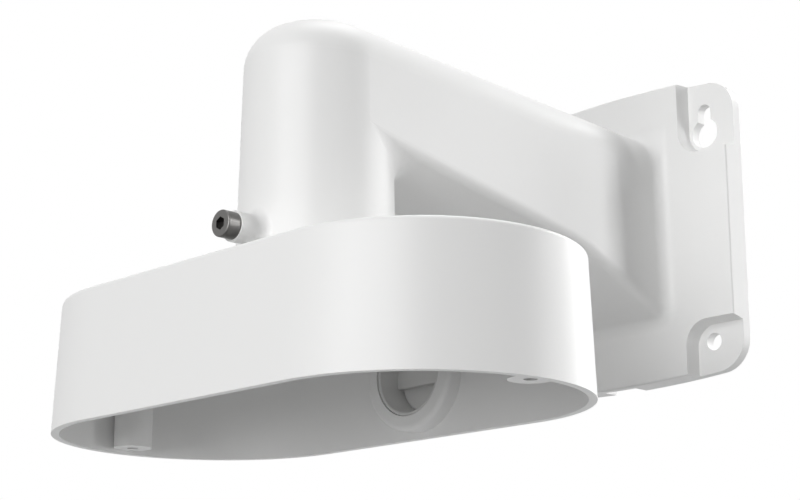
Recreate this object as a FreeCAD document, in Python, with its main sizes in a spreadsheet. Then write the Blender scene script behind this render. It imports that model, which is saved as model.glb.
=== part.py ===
import FreeCAD, Part
import math
import os
import Sketcher

# Camera wall bracket: a shallow wall plate and a hollow arm cast in one with a
# round column, and an oval camera housing clamped under the column's foot.
# Frame: origin on the wall at the plate's middle, +Y into the wall, +Z up.

SIZES = {
    # Wall plate
    "plate_width": 88.2,
    "plate_height": 92.1,
    "plate_crown": 2.4,
    "plate_depth": 8.0,
    "plate_corner": 9.5,
    "plate_wall": 2.6,
    "plate_edge": 0.6,
    "tray_corner": 2.5,
    "flange_thickness": 3.2,
    # Corner recesses over the wall screws
    "recess_side": 27.1,
    "recess_top": 22.0,
    "recess_bottom": 29.2,
    "recess_corner": 7.4,
    "recess_draft": 11.0,
    # Wall screw holes
    "hole_spacing": 67.4,
    "keyhole_rise": 35.8,
    "keyhole_drop": 6.8,
    "keyhole_slot": 4.6,
    "keyhole_head": 9.1,
    "lower_hole": 5.2,
    "lower_hole_drop": 35.4,
    # Cable notch in the plate's lower edge
    "notch_width": 11.6,
    "notch_depth": 5.3,
    # Arm and column
    "reach": 130.7,
    "column_radius": 20.9,
    "column_draft": 1.12,
    "arm_top": 34.85,
    "top_slope": 2.0,
    "knee_reach": 46.05,
    "knee_drop": 11.0,
    "knee_radius": 40.0,
    "outer_slope": 9.2,
    "root_slope": 23.9,
    "top_round": 11.7,
    "lower_round": 2.75,
    "foot_round": 5.5,
    "root_round": 4.2,
    # Cable way through the arm
    "socket_radius": 17.2,
    "socket_depth": 22.0,
    "bore_radius": 16.2,
    "bore_roof": 8.85,
    "channel_width": 30.4,
    "channel_wall": 4.0,
    "channel_round": 8.0,
    # Lock screw and its boss
    "boss_radius": 4.0,
    "boss_reach": 28.0,
    "boss_round": 3.0,
    "screw_drop": 23.9,
    "screw_radius": 2.0,
    "screw_clearance": 0.2,
    "thread_clearance": 0.02,
    "screw_length": 14.0,
    "head_radius": 3.5,
    "head_height": 4.0,
    "head_edge": 0.4,
    "head_hex": 3.0,
    "head_hex_depth": 2.0,
    # Neck gasket
    "gasket_thickness": 1.0,
    "gasket_inset": 0.5,
    # Camera housing
    "housing_drop": 34.9,
    "housing_length": 162.6,
    "housing_width": 84.7,
    "housing_height": 35.1,
    "housing_forward": 1.55,
    "housing_draft": 2.28,
    "housing_wall": 2.1,
    "housing_roof": 3.2,
    "housing_edge": 1.2,
    # Neck that stands up into the column
    "neck_clearance": 0.2,
    "neck_wall": 4.0,
    "neck_height": 20.0,
    # Camera screw bosses
    "camera_spacing": 148.4,
    "camera_boss": 5.3,
    "camera_boss_lift": 0.95,
    "camera_hole": 1.65,
    "camera_hole_depth": 12.0,
    # Side cable entry and its blanking plug
    "entry_drop": 52.8,
    "entry_radius": 11.7,
    "entry_boss": 15.6,
    "entry_length": 7.7,
    "entry_proud": 1.0,
    "entry_edge": 1.3,
    "plug_clearance": 0.05,
    "plug_reach": 4.4,
    "plug_head": 14.3,
    "plug_head_height": 3.0,
    "plug_edge": 0.6,
    "plug_hex": 15.0,
    "plug_hex_depth": 3.6,
    "plug_slot": 2.4,
    "plug_slot_depth": 1.6,
    "seal_thickness": 1.0,
    "seal_width": 2.3,
}

doc = FreeCAD.newDocument("camera_wall_bracket")
sheet = doc.addObject("Spreadsheet::Sheet", "sizes")
for row, (alias, value) in enumerate(SIZES.items(), start=1):
    sheet.set(f"A{row}", alias)
    sheet.set(f"B{row}", str(value))
    sheet.setAlias(f"B{row}", alias)
doc.recompute()


class Length:
    """A number now, together with the sheet formula that keeps it up to date."""

    def __init__(self, now, formula):
        self.now = float(now)
        self.formula = formula

    def __add__(self, other):
        other = length(other)
        return Length(self.now + other.now, f"({self.formula} + {other.formula})")

    def __sub__(self, other):
        other = length(other)
        return Length(self.now - other.now, f"({self.formula} - {other.formula})")

    def __mul__(self, other):
        other = length(other)
        return Length(self.now * other.now, f"({self.formula} * {other.formula})")

    def __truediv__(self, other):
        other = length(other)
        return Length(self.now / other.now, f"({self.formula} / {other.formula})")

    def __neg__(self):
        return Length(-self.now, f"(0 - {self.formula})")


def length(thing):
    """A plain number as a Length, or a Length as it is."""
    return thing if isinstance(thing, Length) else Length(thing, f"({float(thing)})")


def size(alias):
    """A size from the sheet."""
    return Length(sheet.get(alias), f"sizes.{alias}")


def slope(alias):
    """Rise per length run of an angle from the sheet, in degrees."""
    angle = size(alias)
    return Length(math.tan(math.radians(angle.now)), f"tan({angle.formula})")


def root(area):
    """Square root of an area."""
    return Length(math.sqrt(area.now), f"sqrt({area.formula})")


def bind(thing, path, amount):
    """Drive one property by the sheet."""
    if "sizes." in amount.formula:
        thing.setExpression(path, amount.formula)


def new_body(label):
    """One sub-part, named after the file that it is written to."""
    body = doc.addObject("PartDesign::Body", label)
    body.Label = label
    return body


def origin_plane(body, role):
    """One of the body's own origin planes."""
    return next(part for part in body.Origin.OriginFeatures if part.Role == role)


def new_sketch(body, name, role, offset=0, across=0, up=0):
    """A drawing on one of the body's own planes or parallel to it, with its origin set in it."""
    drawing = body.newObject("Sketcher::SketchObject", name)
    drawing.AttachmentSupport = [(origin_plane(body, role), "")]
    drawing.MapMode = "FlatFace"
    shift = [length(part) for part in (across, up, offset)]
    base = FreeCAD.Vector(*(part.now for part in shift))
    drawing.AttachmentOffset = FreeCAD.Placement(base, FreeCAD.Rotation())
    for axis, part in zip("xyz", shift):
        bind(drawing, f"AttachmentOffset.Base.{axis}", part)
    return drawing


def measure(drawing, kind, geometry, point, amount):
    """One dimension of a drawing, from its origin to a point."""
    number = drawing.addConstraint(Sketcher.Constraint(kind, geometry, point, amount.now))
    bind(drawing, f"Constraints[{number}]", amount)


def draw_outline(drawing, stops, arcs=None):
    """A closed outline through the stops, anticlockwise along its arcs.

    arcs gives the centre of the arc that leaves a stop, by the stop's number.
    """
    arcs = arcs or {}
    stops = [(length(across), length(up)) for across, up in stops]
    for number, (across, up) in enumerate(stops):
        start = FreeCAD.Vector(across.now, up.now, 0)
        across, up = stops[(number + 1) % len(stops)]
        end = FreeCAD.Vector(across.now, up.now, 0)
        if number not in arcs:
            drawing.addGeometry(Part.LineSegment(start, end))
            continue
        centre = FreeCAD.Vector(*(length(part).now for part in arcs[number]), 0)
        circle = Part.Circle(centre, FreeCAD.Vector(0, 0, 1), (start - centre).Length)
        begin = math.atan2(start.y - centre.y, start.x - centre.x)
        finish = math.atan2(end.y - centre.y, end.x - centre.x)
        finish += math.tau if finish < begin else 0
        drawing.addGeometry(Part.ArcOfCircle(circle, begin, finish))
    for number in range(len(stops)):
        following = (number + 1) % len(stops)
        drawing.addConstraint(Sketcher.Constraint("Coincident", number, 2, following, 1))
        measure(drawing, "DistanceX", number, 1, stops[number][0])
        measure(drawing, "DistanceY", number, 1, stops[number][1])
    for number, centre in arcs.items():
        across, up = stops[number]
        next_across, next_up = stops[(number + 1) % len(stops)]
        flat = abs(next_across.now - across.now) > abs(next_up.now - up.now)
        kind = "DistanceY" if flat else "DistanceX"
        measure(drawing, kind, number, 3, length(centre[1 if flat else 0]))


def draw_circle(drawing, across, up, radius):
    """A circle."""
    across, up = length(across), length(up)
    centre = FreeCAD.Vector(across.now, up.now, 0)
    number = drawing.addGeometry(Part.Circle(centre, FreeCAD.Vector(0, 0, 1), radius.now))
    measure(drawing, "DistanceX", number, 3, across)
    measure(drawing, "DistanceY", number, 3, up)
    constraint = drawing.addConstraint(Sketcher.Constraint("Radius", number, radius.now))
    bind(drawing, f"Constraints[{constraint}]", radius)


def extrude(body, kind, name, profile, far, reverse=False, both=False, taper=None):
    """A Pad or Pocket of a drawing, checked to have changed the solid."""
    before = body.Shape.Volume if body.Tip else 0.0
    feature = body.newObject(f"PartDesign::{kind}", name)
    feature.Profile = profile
    feature.Length = far.now
    bind(feature, "Length", far)
    feature.Reversed = reverse
    feature.Midplane = both
    if taper is not None:
        feature.TaperAngle = taper.now
        bind(feature, "TaperAngle", taper)
    doc.recompute()
    check_change(feature, before, 1 if kind == "Pad" else -1)
    return feature


def revolve(body, name, profile, axis):
    """A full turn of a drawing about one of its own axes, checked to have added to the solid."""
    before = body.Shape.Volume if body.Tip else 0.0
    feature = body.newObject("PartDesign::Revolution", name)
    feature.Profile = profile
    feature.ReferenceAxis = (profile, [axis])
    feature.Angle = 360
    doc.recompute()
    check_change(feature, before, 1)


def check_change(feature, before, sign):
    """Stop where a feature adds or cuts nothing."""
    if (feature.Shape.Volume - before) * sign <= 0:
        raise ValueError(f"{feature.Label} changes nothing")


def middle(edge):
    """The point halfway along an edge."""
    return edge.valueAt((edge.FirstParameter + edge.LastParameter) / 2)


def dress(body, kind, name, amount, chosen):
    """A Fillet or Chamfer on the body's edges that the test picks."""
    base = body.Tip
    edges = [f"Edge{number}" for number, edge in enumerate(base.Shape.Edges, start=1) if chosen(edge)]
    if not edges:
        raise ValueError(f"{name} finds no edge")
    feature = body.newObject(f"PartDesign::{kind}", name)
    feature.Base = (base, edges)
    path = "Radius" if kind == "Fillet" else "Size"
    setattr(feature, path, amount.now)
    bind(feature, path, amount)
    doc.recompute()
    return feature


def mirror(body, name, originals):
    """The same features on the other side of the bracket's middle plane."""
    feature = body.newObject("PartDesign::Mirrored", name)
    feature.Originals = originals
    feature.MirrorPlane = (origin_plane(body, "YZ_Plane"), [""])
    body.Tip = feature
    doc.recompute()
    return feature


def place(body, base, turn=None):
    """Set a sub-part in the shared frame."""
    position = [length(part) for part in base]
    rotation = turn or FreeCAD.Rotation()
    body.Placement = FreeCAD.Placement(FreeCAD.Vector(*(part.now for part in position)), rotation)
    for axis, part in zip("xyz", position):
        bind(body, f"Placement.Base.{axis}", part)


# Places that several sub-parts share
NEAR = 0.01
AXIS = -size("reach")
HOUSING_MIDDLE = AXIS - size("housing_forward")
HOUSING_TOP = -size("housing_drop")
RIM = HOUSING_TOP - size("housing_height")
FOOT = HOUSING_TOP + size("gasket_thickness")
NECK_RADIUS = size("socket_radius") - size("neck_clearance")
COLUMN_BLANK = size("arm_top") - FOOT + size("column_radius")
SCREW_SEAT = size("reach") + size("boss_reach")
ENTRY_HEIGHT = -size("entry_drop")
SKIRT_FACE = HOUSING_MIDDLE + size("housing_width") / 2 - (ENTRY_HEIGHT - RIM) * slope("housing_draft")
ENTRY_OUTER = SKIRT_FACE + size("entry_proud")
ENTRY_INNER = ENTRY_OUTER - size("entry_length")


def column_radius_at(height):
    """The column's radius at a height over the origin, now."""
    return size("column_radius").now - slope("column_draft").now * (height - FOOT.now)


def top_at(along):
    """Height of the arm's top at a place along Y."""
    return size("arm_top") - (length(along) - AXIS) * slope("top_slope")


def underside_at(along):
    """Height of the arm's underside, before its knee is rounded."""
    along = length(along)
    beyond = along + size("knee_reach")
    fall = slope("root_slope") if beyond.now > 0 else slope("outer_slope")
    return -size("knee_drop") - beyond * fall


def cast_arm(body):
    """Arm blank with leaning sides, a bent underside and a sloping top."""
    radius = size("column_radius")
    inside = size("plate_depth") / 8
    section = new_sketch(body, "arm_section", "XZ_Plane", inside)
    narrow = radius - COLUMN_BLANK * slope("column_draft")
    high = FOOT + COLUMN_BLANK
    draw_outline(section, [(-radius, FOOT), (radius, FOOT), (narrow, high), (-narrow, high)])
    extrude(body, "Pad", "arm_blank", section, size("reach") - inside)
    below = FOOT - size("reach") / 2
    beyond = AXIS - radius
    knee = -size("knee_reach")
    underside = new_sketch(body, "underside_line", "YZ_Plane")
    draw_outline(
        underside,
        [(beyond, below), (0, below), (0, underside_at(0)), (knee, underside_at(knee)),
         (beyond, underside_at(beyond))],
    )
    extrude(body, "Pocket", "underside", underside, radius * 3, both=True)
    dress(
        body, "Fillet", "knee", size("knee_radius"),
        lambda edge: (middle(edge) - FreeCAD.Vector(0, knee.now, underside_at(knee).now)).Length < NEAR,
    )
    slice_top(body, "arm_top", length(0))
    dress(
        body, "Fillet", "lower_edges", size("lower_round"),
        lambda edge: AXIS.now + NEAR < middle(edge).y < -size("plate_depth").now
        and middle(edge).z < size("arm_top").now / 4
        and abs(middle(edge).x) > radius.now / 2,
    )


def slice_top(body, name, end):
    """Cut off what stands over the sloping top line, as far back as the end along Y."""
    radius = size("column_radius")
    beyond = AXIS - radius * 2
    above = size("arm_top") + radius * 2
    line = new_sketch(body, f"{name}_line", "YZ_Plane")
    draw_outline(line, [(beyond, top_at(beyond)), (end, top_at(end)), (end, above), (beyond, above)])
    extrude(body, "Pocket", name, line, radius * 3, both=True)


def cast_column(body):
    """Round column at the arm's end, under the same sloping top."""
    radius = size("column_radius")
    narrow = radius - COLUMN_BLANK * slope("column_draft")
    profile = new_sketch(body, "column_profile", "YZ_Plane", across=AXIS, up=FOOT)
    draw_outline(profile, [(0, 0), (radius, 0), (narrow, COLUMN_BLANK), (0, COLUMN_BLANK)])
    revolve(body, "column", profile, "V_Axis")
    slice_top(body, "column_top", AXIS + radius)

    def meets_column(edge):
        point = middle(edge)
        across = math.hypot(point.x, point.y - AXIS.now)
        inner = FOOT.now + size("foot_round").now < point.z < size("arm_top").now / 4
        behind = point.y > AXIS.now + radius.now / 2
        wide = edge.BoundBox.XLength > radius.now / 2
        return wide and behind and inner and abs(across - column_radius_at(point.z)) < NEAR

    dress(body, "Fillet", "column_blend", size("foot_round"), meets_column)


def cast_plate(body):
    """Wall plate with crowned edges, blended into the arm's root."""
    half_width = size("plate_width") / 2
    shoulder = size("plate_height") / 2 - size("plate_crown")
    crown = size("plate_crown")
    crown_radius = (half_width * half_width + crown * crown) / (crown * 2)
    centre = size("plate_height") / 2 - crown_radius
    outline = new_sketch(body, "plate_outline", "XZ_Plane")
    draw_outline(
        outline,
        [(-half_width, -shoulder), (half_width, -shoulder),
         (half_width, shoulder), (-half_width, shoulder)],
        {0: (0, -centre), 2: (0, centre)},
    )
    extrude(body, "Pad", "plate", outline, size("plate_depth"))
    front = -size("plate_depth").now
    dress(
        body, "Fillet", "arm_root", size("root_round"),
        lambda edge: all(abs(point.Y - front) < NEAR for point in edge.Vertexes)
        and abs(middle(edge).x) < half_width.now * 0.9
        and FOOT.now < middle(edge).z < size("arm_top").now,
    )
    dress(
        body, "Fillet", "top_edges", size("top_round"),
        lambda edge: edge.BoundBox.YLength > size("root_round").now
        and all(abs(point.Z - top_at(point.Y).now) < NEAR for point in edge.Vertexes),
    )
    dress(
        body, "Fillet", "plate_corners", size("plate_corner"),
        lambda edge: abs(middle(edge).y - front / 2) < NEAR
        and edge.BoundBox.YLength > abs(front) / 2
        and abs(middle(edge).x) > half_width.now * 0.9,
    )
    dress(
        body, "Fillet", "plate_front_edge", size("plate_edge"),
        lambda edge: edge.BoundBox.YLength < NEAR
        and abs(middle(edge).y - front) < NEAR
        and (abs(middle(edge).x) > half_width.now * 0.9
             or abs(middle(edge).z) > shoulder.now * 0.95),
    )


def cut_corners(body):
    """Corner recesses, keyholes above and round holes below."""
    side = size("recess_side")
    corner = size("recess_corner")
    outside = size("plate_width") * 0.6
    high = size("plate_height") * 0.6
    depth = size("plate_depth") - size("flange_thickness")
    draft = -size("recess_draft")
    top = size("recess_top")
    above = new_sketch(body, "upper_recess_outline", "XZ_Plane", size("plate_depth"))
    draw_outline(
        above,
        [(side, high), (side, top + corner), (side + corner, top), (outside, top), (outside, high)],
        {1: (side + corner, top + corner)},
    )
    upper = extrude(body, "Pocket", "upper_recess", above, depth, taper=draft)
    bottom = -size("recess_bottom")
    below = new_sketch(body, "lower_recess_outline", "XZ_Plane", size("plate_depth"))
    draw_outline(
        below,
        [(side + corner, bottom), (side, bottom - corner), (side, -high), (outside, -high),
         (outside, bottom)],
        {0: (side + corner, bottom - corner)},
    )
    lower = extrude(body, "Pocket", "lower_recess", below, depth, taper=draft)
    across = size("hole_spacing") / 2
    slot_top = size("keyhole_rise")
    slot = size("keyhole_slot") / 2
    head = size("keyhole_head") / 2
    head_height = slot_top - size("keyhole_drop")
    joint = head_height + root(head * head - slot * slot)
    keyhole_outline = new_sketch(body, "keyhole_outline", "XZ_Plane")
    draw_outline(
        keyhole_outline,
        [(across + slot, joint), (across + slot, slot_top), (across - slot, slot_top),
         (across - slot, joint)],
        {1: (across, slot_top), 3: (across, head_height)},
    )
    through = size("plate_depth")
    keyhole = extrude(body, "Pocket", "keyhole", keyhole_outline, through, reverse=True)
    hole_outline = new_sketch(body, "lower_hole_outline", "XZ_Plane")
    draw_circle(hole_outline, across, -size("lower_hole_drop"), size("lower_hole") / 2)
    hole = extrude(body, "Pocket", "lower_screw_hole", hole_outline, through, reverse=True)
    mirror(body, "other_corners", [upper, lower, keyhole, hole])


def cast_screw_boss(body):
    """Boss for the lock screw on the column's front."""
    radius = size("boss_radius")
    face = new_sketch(body, "boss_outline", "XZ_Plane", SCREW_SEAT)
    draw_circle(face, 0, -size("screw_drop"), radius)
    far = size("boss_reach") - size("socket_radius")
    extrude(body, "Pad", "screw_boss", face, far, reverse=True)

    def at_root(edge):
        point = middle(edge)
        from_screw = math.hypot(point.x, point.z + size("screw_drop").now)
        from_axis = math.hypot(point.x, point.y - AXIS.now)
        on_column = abs(from_axis - column_radius_at(point.z)) < NEAR
        return on_column and abs(from_screw - radius.now) < NEAR

    dress(body, "Fillet", "boss_blend", size("boss_round"), at_root)


def hollow_arm(body):
    """Cable way: socket and bore in the column, channel in the arm, plate tray."""
    wall = size("channel_wall")
    knee = -size("knee_reach")
    width = size("channel_width")
    section = new_sketch(body, "channel_section", "YZ_Plane")
    draw_outline(
        section,
        [(AXIS, underside_at(AXIS) + wall), (knee, underside_at(knee) + wall),
         (0, underside_at(0) + wall), (0, top_at(0) - wall), (AXIS, top_at(AXIS) - wall)],
    )
    extrude(body, "Pocket", "channel", section, width, both=True)
    dress(
        body, "Fillet", "channel_edges", size("channel_round"),
        lambda edge: abs(abs(middle(edge).x) - width.now / 2) < NEAR
        and all(abs(point.Z - top_at(point.Y).now + wall.now) < NEAR for point in edge.Vertexes),
    )
    socket = new_sketch(body, "socket_plan", "XY_Plane", FOOT)
    draw_circle(socket, 0, AXIS, size("socket_radius"))
    extrude(body, "Pocket", "neck_socket", socket, size("socket_depth"), reverse=True)
    bore = new_sketch(body, "bore_plan", "XY_Plane", FOOT)
    draw_circle(bore, 0, AXIS, size("bore_radius"))
    rise = size("arm_top") - size("bore_roof") - FOOT
    extrude(body, "Pocket", "column_bore", bore, rise, reverse=True)
    screw = new_sketch(body, "screw_way", "XZ_Plane", SCREW_SEAT)
    draw_circle(screw, 0, -size("screw_drop"), size("screw_radius") + size("screw_clearance"))
    extrude(body, "Pocket", "screw_clearance_hole", screw, size("boss_reach"))
    hollow_plate(body)


def hollow_plate(body):
    """Tray behind the plate's front, around the four corner flanges, and its cable notch."""
    wall = size("plate_wall")
    side = size("plate_width") / 2 - wall
    tall = size("plate_height") / 2 - size("plate_crown") - wall
    narrow = size("recess_side") - wall
    high = size("recess_top") - wall
    low = -size("recess_bottom") + wall
    right = [(narrow, tall), (narrow, high), (side, high), (side, low), (narrow, low), (narrow, -tall)]
    left = [(-across, up) for across, up in reversed(right)]
    tray = new_sketch(body, "tray_outline", "XZ_Plane")
    draw_outline(tray, (right + left)[::-1])
    depth = size("plate_depth") - wall
    extrude(body, "Pocket", "tray", tray, depth, reverse=True)
    dress(
        body, "Fillet", "tray_corners", size("tray_corner"),
        lambda edge: abs(edge.BoundBox.YLength - depth.now) < NEAR
        and edge.BoundBox.DiagonalLength < depth.now + NEAR
        and narrow.now - NEAR < abs(middle(edge).x) < side.now + NEAR,
    )
    half = size("notch_width") / 2
    outside = -size("plate_height") * 0.6
    notch = new_sketch(body, "notch_outline", "XZ_Plane")
    draw_outline(notch, [(-half, outside), (half, outside), (half, wall - tall), (-half, wall - tall)])
    extrude(body, "Pocket", "cable_notch", notch, size("notch_depth"), reverse=True)


def make_wall_arm():
    """Wall plate, arm, column and screw boss: one casting."""
    body = new_body("wall_arm")
    cast_arm(body)
    cast_column(body)
    cast_plate(body)
    cut_corners(body)
    cast_screw_boss(body)
    hollow_arm(body)
    return body


def stadium(drawing, half_length, half_width):
    """Two straight sides joined by half circles, about the housing's middle."""
    straight = half_length - half_width
    low = HOUSING_MIDDLE - half_width
    high = HOUSING_MIDDLE + half_width
    draw_outline(
        drawing,
        [(-straight, low), (straight, low), (straight, high), (-straight, high)],
        {1: (straight, HOUSING_MIDDLE), 3: (-straight, HOUSING_MIDDLE)},
    )


def make_camera_housing():
    """Oval skirt with its roof, neck, camera bosses and side entry: one casting."""
    body = new_body("camera_housing")
    half_length = size("housing_length") / 2
    half_width = size("housing_width") / 2
    wall = size("housing_wall")
    draft = -size("housing_draft")
    outer = new_sketch(body, "skirt_outline", "XY_Plane", RIM)
    stadium(outer, half_length, half_width)
    extrude(body, "Pad", "skirt", outer, size("housing_height"), taper=draft)
    dress(
        body, "Fillet", "roof_edge", size("housing_edge"),
        lambda edge: all(abs(point.Z - HOUSING_TOP.now) < NEAR for point in edge.Vertexes)
        and edge.BoundBox.ZLength < NEAR,
    )
    inner = new_sketch(body, "cavity_outline", "XY_Plane", RIM)
    stadium(inner, half_length - wall, half_width - wall)
    depth = size("housing_height") - size("housing_roof")
    extrude(body, "Pocket", "cavity", inner, depth, reverse=True, taper=draft)
    neck = new_sketch(body, "neck_plan", "XY_Plane", HOUSING_TOP)
    draw_circle(neck, 0, AXIS, NECK_RADIUS)
    extrude(body, "Pad", "neck", neck, size("neck_height"))
    add_entry(body)
    add_camera_bosses(body, depth)
    way = new_sketch(body, "neck_bore_plan", "XY_Plane", RIM)
    draw_circle(way, 0, AXIS, NECK_RADIUS - size("neck_wall"))
    rise = size("housing_height") + size("neck_height")
    extrude(body, "Pocket", "neck_bore", way, rise, reverse=True)
    tapped = new_sketch(body, "neck_thread", "XZ_Plane", SCREW_SEAT)
    draw_circle(tapped, 0, -size("screw_drop"), size("screw_radius"))
    extrude(body, "Pocket", "neck_tapped_hole", tapped, size("boss_reach"))
    return body


def add_entry(body):
    """Side cable entry through the wall-side wall, with its thick round-edged ring."""
    rim = size("entry_boss")
    edge = size("entry_edge")
    rounded = ENTRY_INNER + edge
    ring = new_sketch(body, "entry_ring", "YZ_Plane", up=ENTRY_HEIGHT)
    draw_outline(
        ring,
        [(ENTRY_INNER, 0), (ENTRY_OUTER, 0), (ENTRY_OUTER, rim), (rounded, rim),
         (ENTRY_INNER, rim - edge)],
        {3: (rounded, rim - edge)},
    )
    revolve(body, "entry_boss", ring, "H_Axis")
    hole = new_sketch(body, "entry_hole_outline", "XZ_Plane", -ENTRY_INNER)
    draw_circle(hole, 0, ENTRY_HEIGHT, size("entry_radius"))
    extrude(body, "Pocket", "entry_hole", hole, size("entry_length"))


def add_camera_bosses(body, depth):
    """Two screw bosses for the camera, one at each end of the skirt."""
    across = size("camera_spacing") / 2
    lift = size("camera_boss_lift")
    plan = new_sketch(body, "camera_boss_plan", "XY_Plane", RIM + lift)
    draw_circle(plan, across, HOUSING_MIDDLE, size("camera_boss"))
    boss = extrude(body, "Pad", "camera_boss", plan, depth - lift + size("housing_roof") / 3)
    hole_plan = new_sketch(body, "camera_hole_plan", "XY_Plane", RIM + lift)
    draw_circle(hole_plan, across, HOUSING_MIDDLE, size("camera_hole"))
    hole = extrude(body, "Pocket", "camera_screw_hole", hole_plan, size("camera_hole_depth"), reverse=True)
    mirror(body, "other_camera_boss", [boss, hole])


def ring_body(label, outer, inner, thickness):
    """A flat ring about its own axis."""
    body = new_body(label)
    face = new_sketch(body, f"{label}_face", "XY_Plane")
    draw_circle(face, 0, 0, outer)
    draw_circle(face, 0, 0, inner)
    extrude(body, "Pad", f"{label}_ring", face, thickness)
    return body


def make_neck_gasket():
    """Flat gasket between the column's foot and the housing's roof."""
    outer = size("column_radius") - size("gasket_inset")
    body = ring_body("neck_gasket", outer, size("socket_radius"), size("gasket_thickness"))
    place(body, (0, AXIS, HOUSING_TOP))
    return body


def draw_hexagon(drawing, across_flats):
    """A hexagon about the drawing's origin, with two corners up and down."""
    corner = across_flats / root(length(3))
    flat = across_flats / 2
    half = corner / 2
    draw_outline(
        drawing,
        [(0, -corner), (flat, -half), (flat, half), (0, corner), (-flat, half), (-flat, -half)],
    )


def make_lock_screw():
    """Socket cap screw: head up along its own +Z, seated at its origin."""
    body = new_body("lock_screw")
    head = new_sketch(body, "head_outline", "XY_Plane")
    draw_circle(head, 0, 0, size("head_radius"))
    extrude(body, "Pad", "head", head, size("head_height"))
    dress(
        body, "Fillet", "head_edge", size("head_edge"),
        lambda edge: abs(middle(edge).z - size("head_height").now) < NEAR,
    )
    shank = new_sketch(body, "shank_outline", "XY_Plane")
    draw_circle(shank, 0, 0, size("screw_radius") - size("thread_clearance"))
    extrude(body, "Pad", "shank", shank, size("screw_length"), reverse=True)
    socket = new_sketch(body, "hex_outline", "XY_Plane", size("head_height"))
    draw_hexagon(socket, size("head_hex"))
    extrude(body, "Pocket", "hex_socket", socket, size("head_hex_depth"))
    place(body, (0, -SCREW_SEAT, -size("screw_drop")), FreeCAD.Rotation(FreeCAD.Vector(1, 0, 0), 90))
    return body


def make_entry_plug():
    """Blanking plug: its head outside, a hexagon recess inside, along its own +Z outwards."""
    body = new_body("entry_plug")
    head = new_sketch(body, "plug_head_outline", "XY_Plane")
    draw_circle(head, 0, 0, size("plug_head"))
    extrude(body, "Pad", "plug_head", head, size("plug_head_height"))
    dress(
        body, "Fillet", "plug_head_edge", size("plug_edge"),
        lambda edge: abs(middle(edge).z - size("plug_head_height").now) < NEAR,
    )
    shank = new_sketch(body, "plug_shank_outline", "XY_Plane")
    draw_circle(shank, 0, 0, size("entry_radius") - size("plug_clearance"))
    far = size("plug_reach") + size("seal_thickness")
    extrude(body, "Pad", "plug_shank", shank, far, reverse=True)
    recess = new_sketch(body, "plug_hex_outline", "XY_Plane", -far)
    draw_hexagon(recess, size("plug_hex"))
    extrude(body, "Pocket", "plug_hex_recess", recess, size("plug_hex_depth"), reverse=True)
    slot = new_sketch(body, "plug_slot_outline", "XY_Plane", size("plug_head_height"))
    half = size("plug_slot") / 2
    long = size("plug_head") * 0.75
    draw_outline(slot, [(-long, -half), (long, -half), (long, half), (-long, half)])
    extrude(body, "Pocket", "plug_driver_slot", slot, size("plug_slot_depth"))
    seat = ENTRY_OUTER + size("seal_thickness")
    place(body, (0, seat, ENTRY_HEIGHT), FreeCAD.Rotation(FreeCAD.Vector(1, 0, 0), -90))
    return body


def make_plug_seal():
    """Flat seal under the plug's head."""
    inner = size("plug_head") - size("seal_width")
    body = ring_body("plug_seal", size("plug_head"), inner, size("seal_thickness"))
    turn = FreeCAD.Rotation(FreeCAD.Vector(1, 0, 0), -90)
    place(body, (0, ENTRY_OUTER, ENTRY_HEIGHT), turn)
    return body


def check_document():
    """Stop at any object that failed to build."""
    for thing in doc.Objects:
        if "Invalid" in thing.State or "Error" in thing.State:
            raise ValueError(f"{thing.Label} failed: {thing.State}")


def write(body):
    """Check one sub-part's solid and write it under its own name."""
    shape = body.Shape
    if shape.isNull() or not shape.isValid() or len(shape.Solids) != 1:
        raise ValueError(f"{body.Label} is not one valid solid")
    shape.exportStep(os.path.join("parts", f"{body.Label}.step"))
    print(f"{body.Label}: {shape.Volume / 1000:.2f} cm3")


os.makedirs("parts", exist_ok=True)
sub_parts = [
    make_wall_arm(),
    make_camera_housing(),
    make_neck_gasket(),
    make_lock_screw(),
    make_entry_plug(),
    make_plug_seal(),
]
doc.recompute()
check_document()
for sub_part in sub_parts:
    write(sub_part)
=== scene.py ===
import math

import bmesh
import bpy
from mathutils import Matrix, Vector


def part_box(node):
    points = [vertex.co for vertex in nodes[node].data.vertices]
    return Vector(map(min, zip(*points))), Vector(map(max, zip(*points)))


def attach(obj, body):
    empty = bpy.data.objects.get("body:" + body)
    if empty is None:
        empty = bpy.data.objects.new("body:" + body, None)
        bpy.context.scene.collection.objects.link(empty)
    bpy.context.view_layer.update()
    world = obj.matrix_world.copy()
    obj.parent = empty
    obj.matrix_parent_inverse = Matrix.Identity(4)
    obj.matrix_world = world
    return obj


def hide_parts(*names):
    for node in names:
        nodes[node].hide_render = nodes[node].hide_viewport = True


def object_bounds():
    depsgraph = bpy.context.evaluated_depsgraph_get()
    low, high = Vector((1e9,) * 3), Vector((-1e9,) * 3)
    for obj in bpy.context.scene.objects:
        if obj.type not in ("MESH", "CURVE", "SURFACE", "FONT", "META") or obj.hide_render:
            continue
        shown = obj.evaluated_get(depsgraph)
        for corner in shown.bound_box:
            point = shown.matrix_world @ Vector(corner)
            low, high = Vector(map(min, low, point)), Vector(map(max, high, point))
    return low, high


# White camera wall bracket, seen from the front right and from below, on white.
# Lengths are in metres, in the CAD model's frame: origin on the wall, +Y into it, +Z up.

PHOTO_WIDTH = 800
FOCAL_PIXELS = 1792.8
SENSOR_WIDTH_MM = 36.0
CAMERA_PLACE = Vector((0.33506, -0.43251, -0.14315))
CAMERA_AZIMUTH = math.radians(45.21)
CAMERA_RISE = math.radians(14.71)
NEAREST_SEEN = 0.01

# Even strength of the studio's own light
WORLD_LIGHT = 0.08

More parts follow.
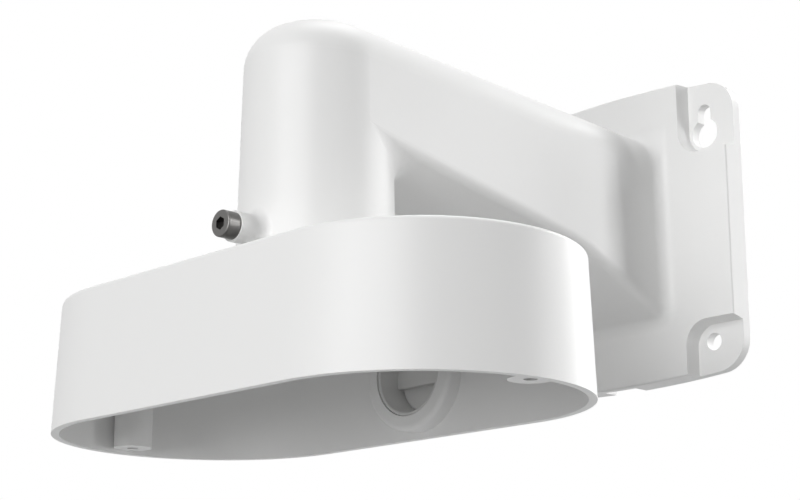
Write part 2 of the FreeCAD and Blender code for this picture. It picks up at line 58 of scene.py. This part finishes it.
# Softboxes round the bracket: azimuth and rise in degrees, width, height, watts
BOX_REACH = 1.4
LIT_MIDDLE = Vector((0.0, -0.09, -0.01))
SOFTBOXES = {
    "front_box": (-90, 8, 0.4, 1.2, 8.4),
    "near_box": (-65, 12, 0.4, 1.2, 8.0),
    "right_box": (46, 5, 0.3, 1.2, 9.0),
    "wall_box": (80, 20, 0.6, 1.0, 11.5),
    "top_box": (90, 78, 0.8, 1.0, 9.0),
}

# Floor: lit by FLOOR_PAINT, shown by its glow and shade, white beyond FLOOR_WHITE_FROM
FLOOR_DROP = 0.75
FLOOR_SIZE = 8.0
FLOOR_PAINT = (0.5, 0.5, 0.5, 1.0)
FLOOR_ROUGHNESS = 0.9
FLOOR_SHADE = (0.2, 0.2, 0.2, 1.0)
FLOOR_GLOW = 0.86
FLOOR_PLAIN_TO = 0.9
FLOOR_WHITE_FROM = 3.6

# Entry plug: a hollow cup with a bar across its floor, and a slot of SLOT_REACH head radii
HEAD_HEIGHT = 0.0030
SEAL_HEIGHT = 0.0010
ENTRY_LENGTH = 0.0077
CUP_INSIDE = 0.0107
CUP_OUTSIDE = 0.01155
CUP_SHORT = 0.0002
EDGE_ROUND = 0.0006
BAR_WIDTH = 0.0049
BAR_HEIGHT = 0.0021
SLOT_WIDTH = 0.0024
SLOT_DEPTH = 0.0016
SLOT_REACH = 0.75
TURN_STEPS = 160
QUARTER_STEPS = 6
BEVEL_STEPS = 4
SHARP_ANGLE = math.radians(35)

PURE_WHITE = (1.0, 1.0, 1.0, 1.0)
WHITE_PAINT = (0.83, 0.83, 0.825, 1.0)
# Lock screw steel: base colour darkened to paint in dark reflections, where the room reflects
# white
STEEL_WITH_PAINTED_DARK_REFLECTION = (0.15, 0.147, 0.143, 1.0)
SEAL_RUBBER = (0.035, 0.035, 0.036, 1.0)
PLUG_PLASTIC = (0.62, 0.62, 0.61, 1.0)


def add_nodes(tree, *kinds):
    """New shader nodes of the given kinds."""
    return [tree.nodes.new(kind) for kind in kinds]


def new_material(name, colour, roughness, metallic=0.0):
    """A material with its Principled shader set up."""
    material = bpy.data.materials.new(name)
    material.use_nodes = True
    shader = material.node_tree.nodes["Principled BSDF"]
    shader.inputs["Base Color"].default_value = colour
    shader.inputs["Roughness"].default_value = roughness
    shader.inputs["Metallic"].default_value = metallic
    return material, material.node_tree, shader


def add_grain(tree, shader, size, depth):
    """Fine surface grain from noise, as bumps."""
    place, noise, bump = add_nodes(
        tree, "ShaderNodeTexCoord", "ShaderNodeTexNoise", "ShaderNodeBump"
    )
    noise.inputs["Scale"].default_value = 1.0 / size
    noise.inputs["Detail"].default_value = 3.0
    bump.inputs["Distance"].default_value = depth
    bump.inputs["Strength"].default_value = 1.0
    tree.links.new(place.outputs["Object"], noise.inputs["Vector"])
    tree.links.new(noise.outputs["Fac"], bump.inputs["Height"])
    tree.links.new(bump.outputs["Normal"], shader.inputs["Normal"])
    return place


def add_roughness_range(tree, shader, place, size, low, high):
    """Slow change of roughness over the surface."""
    noise, spread = add_nodes(tree, "ShaderNodeTexNoise", "ShaderNodeMapRange")
    noise.inputs["Scale"].default_value = 1.0 / size
    spread.inputs["To Min"].default_value = low
    spread.inputs["To Max"].default_value = high
    tree.links.new(place.outputs["Object"], noise.inputs["Vector"])
    tree.links.new(noise.outputs["Fac"], spread.inputs["Value"])
    tree.links.new(spread.outputs["Result"], shader.inputs["Roughness"])


def powder_coat():
    """White satin powder coat on a die casting."""
    material, tree, shader = new_material("powder_coat", WHITE_PAINT, 0.42)
    place = add_grain(tree, shader, size=0.0011, depth=0.000012)
    add_roughness_range(tree, shader, place, size=0.02, low=0.38, high=0.48)
    return material


def screw_steel():
    """Steel with turning marks, its base colour darkened as a painted dark reflection of the
    surroundings.
    """
    material, tree, shader = new_material("screw_steel", STEEL_WITH_PAINTED_DARK_REFLECTION, 0.3, metallic=1.0)
    place = add_grain(tree, shader, size=0.0006, depth=0.00001)
    add_roughness_range(tree, shader, place, size=0.002, low=0.22, high=0.4)
    return material


def seal_rubber():
    """Black gasket rubber."""
    material, tree, shader = new_material("seal_rubber", SEAL_RUBBER, 0.7)
    add_grain(tree, shader, size=0.0008, depth=0.00003)
    return material


def plug_plastic():
    """Moulded grey-white plastic."""
    material, tree, shader = new_material("plug_plastic", PLUG_PLASTIC, 0.5)
    place = add_grain(tree, shader, size=0.0009, depth=0.00001)
    add_roughness_range(tree, shader, place, size=0.01, low=0.42, high=0.56)
    return material


def dress_nodes(nodes, finishes):
    """Give each CAD node its finish."""
    for name, finish in finishes.items():
        for slot in nodes[name].material_slots:
            slot.material = finish


def set_camera():
    """The photograph's camera: its place, direction and focal length."""
    data = bpy.data.cameras.new("photo_camera")
    data.sensor_width = SENSOR_WIDTH_MM
    data.lens = FOCAL_PIXELS / PHOTO_WIDTH * SENSOR_WIDTH_MM
    data.clip_start = NEAREST_SEEN
    camera = bpy.data.objects.new("photo_camera", data)
    bpy.context.scene.collection.objects.link(camera)
    level = math.cos(CAMERA_RISE)
    forward = Vector((
        -math.sin(CAMERA_AZIMUTH) * level,
        math.cos(CAMERA_AZIMUTH) * level,
        math.sin(CAMERA_RISE),
    ))
    camera.location = CAMERA_PLACE
    camera.rotation_euler = forward.to_track_quat("-Z", "Y").to_euler()
    bpy.context.scene.camera = camera


def show_apart(tree, lighting, shown, target):
    """One shader for the camera, reflections and glass, and another for all other light."""
    path, either, both, mix = add_nodes(
        tree, "ShaderNodeLightPath", "ShaderNodeMath", "ShaderNodeMath", "ShaderNodeMixShader"
    )
    either.operation = "MAXIMUM"
    both.operation = "MAXIMUM"
    tree.links.new(path.outputs["Is Camera Ray"], either.inputs[0])
    tree.links.new(path.outputs["Is Glossy Ray"], either.inputs[1])
    tree.links.new(either.outputs[0], both.inputs[0])
    tree.links.new(path.outputs["Is Transmission Ray"], both.inputs[1])
    tree.links.new(both.outputs[0], mix.inputs["Fac"])
    tree.links.new(lighting, mix.inputs[1])
    tree.links.new(shown, mix.inputs[2])
    tree.links.new(mix.outputs["Shader"], target)


def set_world():
    """A soft white room that shows plain white."""
    world = bpy.data.worlds.new("studio")
    bpy.context.scene.world = world
    world.use_nodes = True
    tree = world.node_tree
    light = tree.nodes["Background"]
    light.inputs["Color"].default_value = PURE_WHITE
    light.inputs["Strength"].default_value = WORLD_LIGHT
    white, = add_nodes(tree, "ShaderNodeBackground")
    white.inputs["Color"].default_value = PURE_WHITE
    surface = tree.nodes["World Output"].inputs["Surface"]
    show_apart(tree, light.outputs["Background"], white.outputs["Background"], surface)


def add_softbox(name, azimuth, rise, width, height, watts):
    """A rectangular studio light that faces the bracket."""
    data = bpy.data.lights.new(name, "AREA")
    data.shape = "RECTANGLE"
    data.size = width
    data.size_y = height
    data.energy = watts
    lamp = bpy.data.objects.new(name, data)
    bpy.context.scene.collection.objects.link(lamp)
    turn, lift = math.radians(azimuth), math.radians(rise)
    away = Vector(
        (math.cos(turn) * math.cos(lift), math.sin(turn) * math.cos(lift), math.sin(lift))
    )
    lamp.location = LIT_MIDDLE + away * BOX_REACH
    lamp.rotation_euler = (-away).to_track_quat("-Z", "Y").to_euler()


def pale_floor(tree):
    """What the camera sees of the floor: pale with soft shadows, and white far away."""
    glow, dim, near, white = add_nodes(
        tree, "ShaderNodeEmission", "ShaderNodeBsdfDiffuse", "ShaderNodeAddShader",
        "ShaderNodeEmission",
    )
    glow.inputs["Color"].default_value = PURE_WHITE
    glow.inputs["Strength"].default_value = FLOOR_GLOW
    dim.inputs["Color"].default_value = FLOOR_SHADE
    white.inputs["Color"].default_value = PURE_WHITE
    white.inputs["Strength"].default_value = 1.0
    tree.links.new(glow.outputs["Emission"], near.inputs[0])
    tree.links.new(dim.outputs["BSDF"], near.inputs[1])
    place, far, fade, mix = add_nodes(
        tree, "ShaderNodeTexCoord", "ShaderNodeVectorMath", "ShaderNodeMapRange",
        "ShaderNodeMixShader",
    )
    far.operation = "LENGTH"
    fade.interpolation_type = "SMOOTHSTEP"
    fade.inputs["From Min"].default_value = FLOOR_PLAIN_TO
    fade.inputs["From Max"].default_value = FLOOR_WHITE_FROM
    tree.links.new(place.outputs["Object"], far.inputs[0])
    tree.links.new(far.outputs["Value"], fade.inputs["Value"])
    tree.links.new(fade.outputs["Result"], mix.inputs["Fac"])
    tree.links.new(near.outputs["Shader"], mix.inputs[1])
    tree.links.new(white.outputs["Emission"], mix.inputs[2])
    return mix.outputs["Shader"]


def add_floor(below):
    """Plain pale floor, well under the bracket."""
    bpy.ops.mesh.primitive_plane_add(size=FLOOR_SIZE, location=(0, 0, below))
    floor = bpy.context.object
    floor.name = "floor"
    material, tree, shader = new_material("floor_paint", FLOOR_PAINT, FLOOR_ROUGHNESS)
    surface = tree.nodes["Material Output"].inputs["Surface"]
    show_apart(tree, shader.outputs["BSDF"], pale_floor(tree), surface)
    floor.data.materials.append(material)


def shade(data):
    """Smooth shading, with sharp edges where the faces turn."""
    data.shade_smooth()
    data.set_sharp_from_angle(angle=SHARP_ANGLE)


def new_piece(name, mesh, material):
    """A piece of the object from an edited mesh, riding with the bracket."""
    data = bpy.data.meshes.new(name)
    mesh.to_mesh(data)
    mesh.free()
    data.materials.append(material)
    shade(data)
    piece = bpy.data.objects.new(name, data)
    bpy.context.scene.collection.objects.link(piece)
    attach(piece, "root")
    return piece


def quarter(radius, along, size, start):
    """Points of a quarter round about a centre, anticlockwise from the start angle in degrees."""
    turns = (
        math.radians(start + 90 * step / QUARTER_STEPS) for step in range(QUARTER_STEPS + 1)
    )
    return [(radius + size * math.cos(turn), along + size * math.sin(turn)) for turn in turns]


def turn_mesh(profile, middle):
    """A solid of revolution about a line along Y, from (radius, place along Y) points."""
    mesh = bmesh.new()
    rings = []
    for radius, along in profile:
        count = TURN_STEPS if radius > 0 else 1
        rings.append([
            mesh.verts.new((
                middle.x + radius * math.cos(math.tau * step / TURN_STEPS),
                along,
                middle.z + radius * math.sin(math.tau * step / TURN_STEPS),
            ))
            for step in range(count)
        ])
    for ring, following in zip(rings, rings[1:]):
        for step in range(TURN_STEPS):
            after = step + 1
            corners = [
                ring[step % len(ring)], ring[after % len(ring)],
                following[after % len(following)], following[step % len(following)],
            ]
            mesh.faces.new(list(dict.fromkeys(corners)))
    bmesh.ops.recalc_face_normals(mesh, faces=mesh.faces)
    return mesh


def shape_with_block(piece, operation, low, high, rounding):
    """Join a round-edged block to a piece, or cut it out of it."""
    mesh = bmesh.new()
    corners = bmesh.ops.create_cube(mesh, size=1.0)["verts"]
    for vert in corners:
        vert.co = Vector(high[axis] if vert.co[axis] > 0 else low[axis] for axis in range(3))
    bmesh.ops.bevel(
        mesh, geom=mesh.edges[:], offset=rounding,
        segments=BEVEL_STEPS, profile=0.5, affect="EDGES",
    )
    data = bpy.data.meshes.new("block")
    mesh.to_mesh(data)
    mesh.free()
    data.materials.append(piece.data.materials[0])
    block = bpy.data.objects.new("block", data)
    bpy.context.scene.collection.objects.link(block)
    change = piece.modifiers.new("block", "BOOLEAN")
    change.operation = operation
    change.solver = "EXACT"
    change.object = block
    shown = piece.evaluated_get(bpy.context.evaluated_depsgraph_get())
    changed = bpy.data.meshes.new_from_object(shown)
    piece.modifiers.clear()
    piece.data = changed
    bpy.data.objects.remove(block)
    shade(changed)


def add_entry_plug(material):
    """Blanking plug of the side entry: a threaded cup, a bar inside and a coin slot outside."""
    low, high = (Vector(corner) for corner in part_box("entry_plug"))
    middle = (low + high) / 2
    head = (high.x - low.x) / 2
    outside = high.y
    floor = outside - HEAD_HEIGHT
    rim = floor - SEAL_HEIGHT - ENTRY_LENGTH + CUP_SHORT
    inner, outer, edge = CUP_INSIDE, CUP_OUTSIDE, EDGE_ROUND
    profile = (
        [(0.0, floor)]
        + quarter(inner - edge, floor - edge, edge, 90)[::-1]
        + [(inner, rim + edge / 2), (inner + edge / 2, rim), (outer - edge / 2, rim),
           (outer, rim + edge / 2), (outer, floor), (head, floor)]
        + quarter(head - edge, outside - edge, edge, 0)
        + [(0.0, outside)]
    )
    piece = new_piece("entry_plug_cup", turn_mesh(profile, middle), material)
    half = BAR_WIDTH / 2
    shape_with_block(
        piece, "UNION",
        (middle.x - inner - edge / 2, floor - BAR_HEIGHT, middle.z - half),
        (middle.x + inner + edge / 2, floor + edge, middle.z + half),
        edge / 2,
    )
    half, long = SLOT_WIDTH / 2, head * SLOT_REACH
    shape_with_block(
        piece, "DIFFERENCE",
        (middle.x - long, outside - SLOT_DEPTH, middle.z - half),
        (middle.x + long, outside + SLOT_DEPTH, middle.z + half),
        edge / 3,
    )
    return piece


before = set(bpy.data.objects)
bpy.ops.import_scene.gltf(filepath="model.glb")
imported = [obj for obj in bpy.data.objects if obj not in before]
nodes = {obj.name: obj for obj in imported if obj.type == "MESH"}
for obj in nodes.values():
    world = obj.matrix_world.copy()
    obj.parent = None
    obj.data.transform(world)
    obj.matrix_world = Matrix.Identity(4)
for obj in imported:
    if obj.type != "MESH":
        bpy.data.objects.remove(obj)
cad_box = [list(corner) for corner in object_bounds()]
dress_nodes(
    nodes,
    {
        "wall_arm": powder_coat(),
        "camera_housing": bpy.data.materials["powder_coat"],
        "neck_gasket": seal_rubber(),
        "plug_seal": bpy.data.materials["seal_rubber"],
        "lock_screw": screw_steel(),
        "entry_plug": plug_plastic(),
    },
)
plug = add_entry_plug(bpy.data.materials["plug_plastic"])
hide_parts("entry_plug")
set_camera()
set_world()
add_floor(cad_box[0][2] - FLOOR_DROP)
for name, box in SOFTBOXES.items():
    add_softbox(name, *box)
bpy.context.scene.view_settings.view_transform = "Standard"
